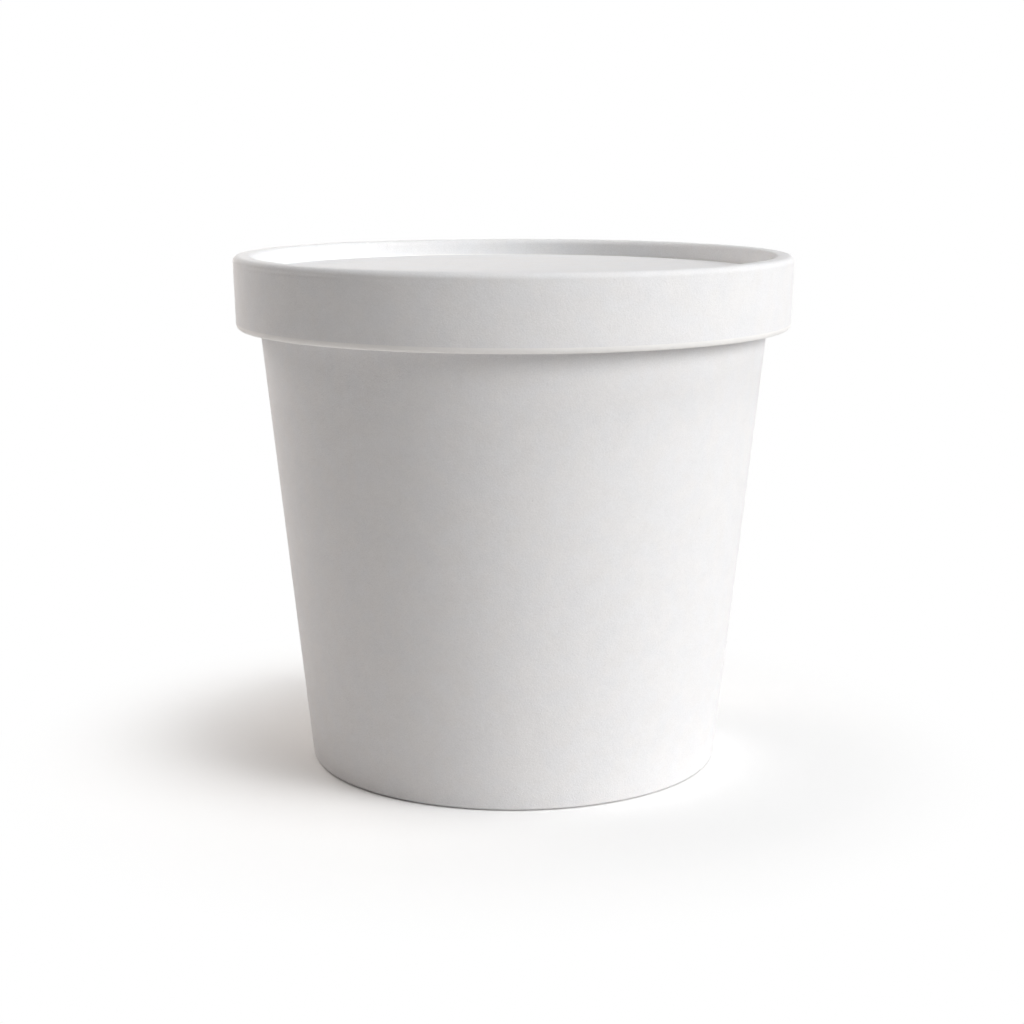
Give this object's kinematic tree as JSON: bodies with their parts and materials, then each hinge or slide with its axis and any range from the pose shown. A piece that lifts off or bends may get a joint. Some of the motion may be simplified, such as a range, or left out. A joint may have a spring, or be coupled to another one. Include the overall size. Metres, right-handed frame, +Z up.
{
  "type": "paper ice cream tub",
  "caption": "Round tapered paperboard tub with a rolled bead, a folded foot and a press-on paper lid that lifts straight off.",
  "frame": {"origin": "centre of the tub's foot, on the surface that it stands on", "axes": "+Z up along the axis of the tub and its lid; the glued laps of the wall and the lid are at the back, towards +Y"},
  "size_m": [0.0956, 0.0956, 0.0878],
  "materials": {
    "tub_board": "uncoated white paperboard, matte with a faint tooth",
    "lid_board": "uncoated white paperboard, matte with a faint tooth"
  },
  "bodies": {
    "tub": {"side_wall": "tub_board", "bottom_disc": "tub_board"},
    "lid": {"lid_ring": "lid_board", "lid_disc": "lid_board"}
  },
  "joints": [
    {"name": "lid_lift", "type": "slide", "parent": "tub", "child": "lid", "axis": [0, 0, 1], "range_m": [0, 0.03]}
  ]
}
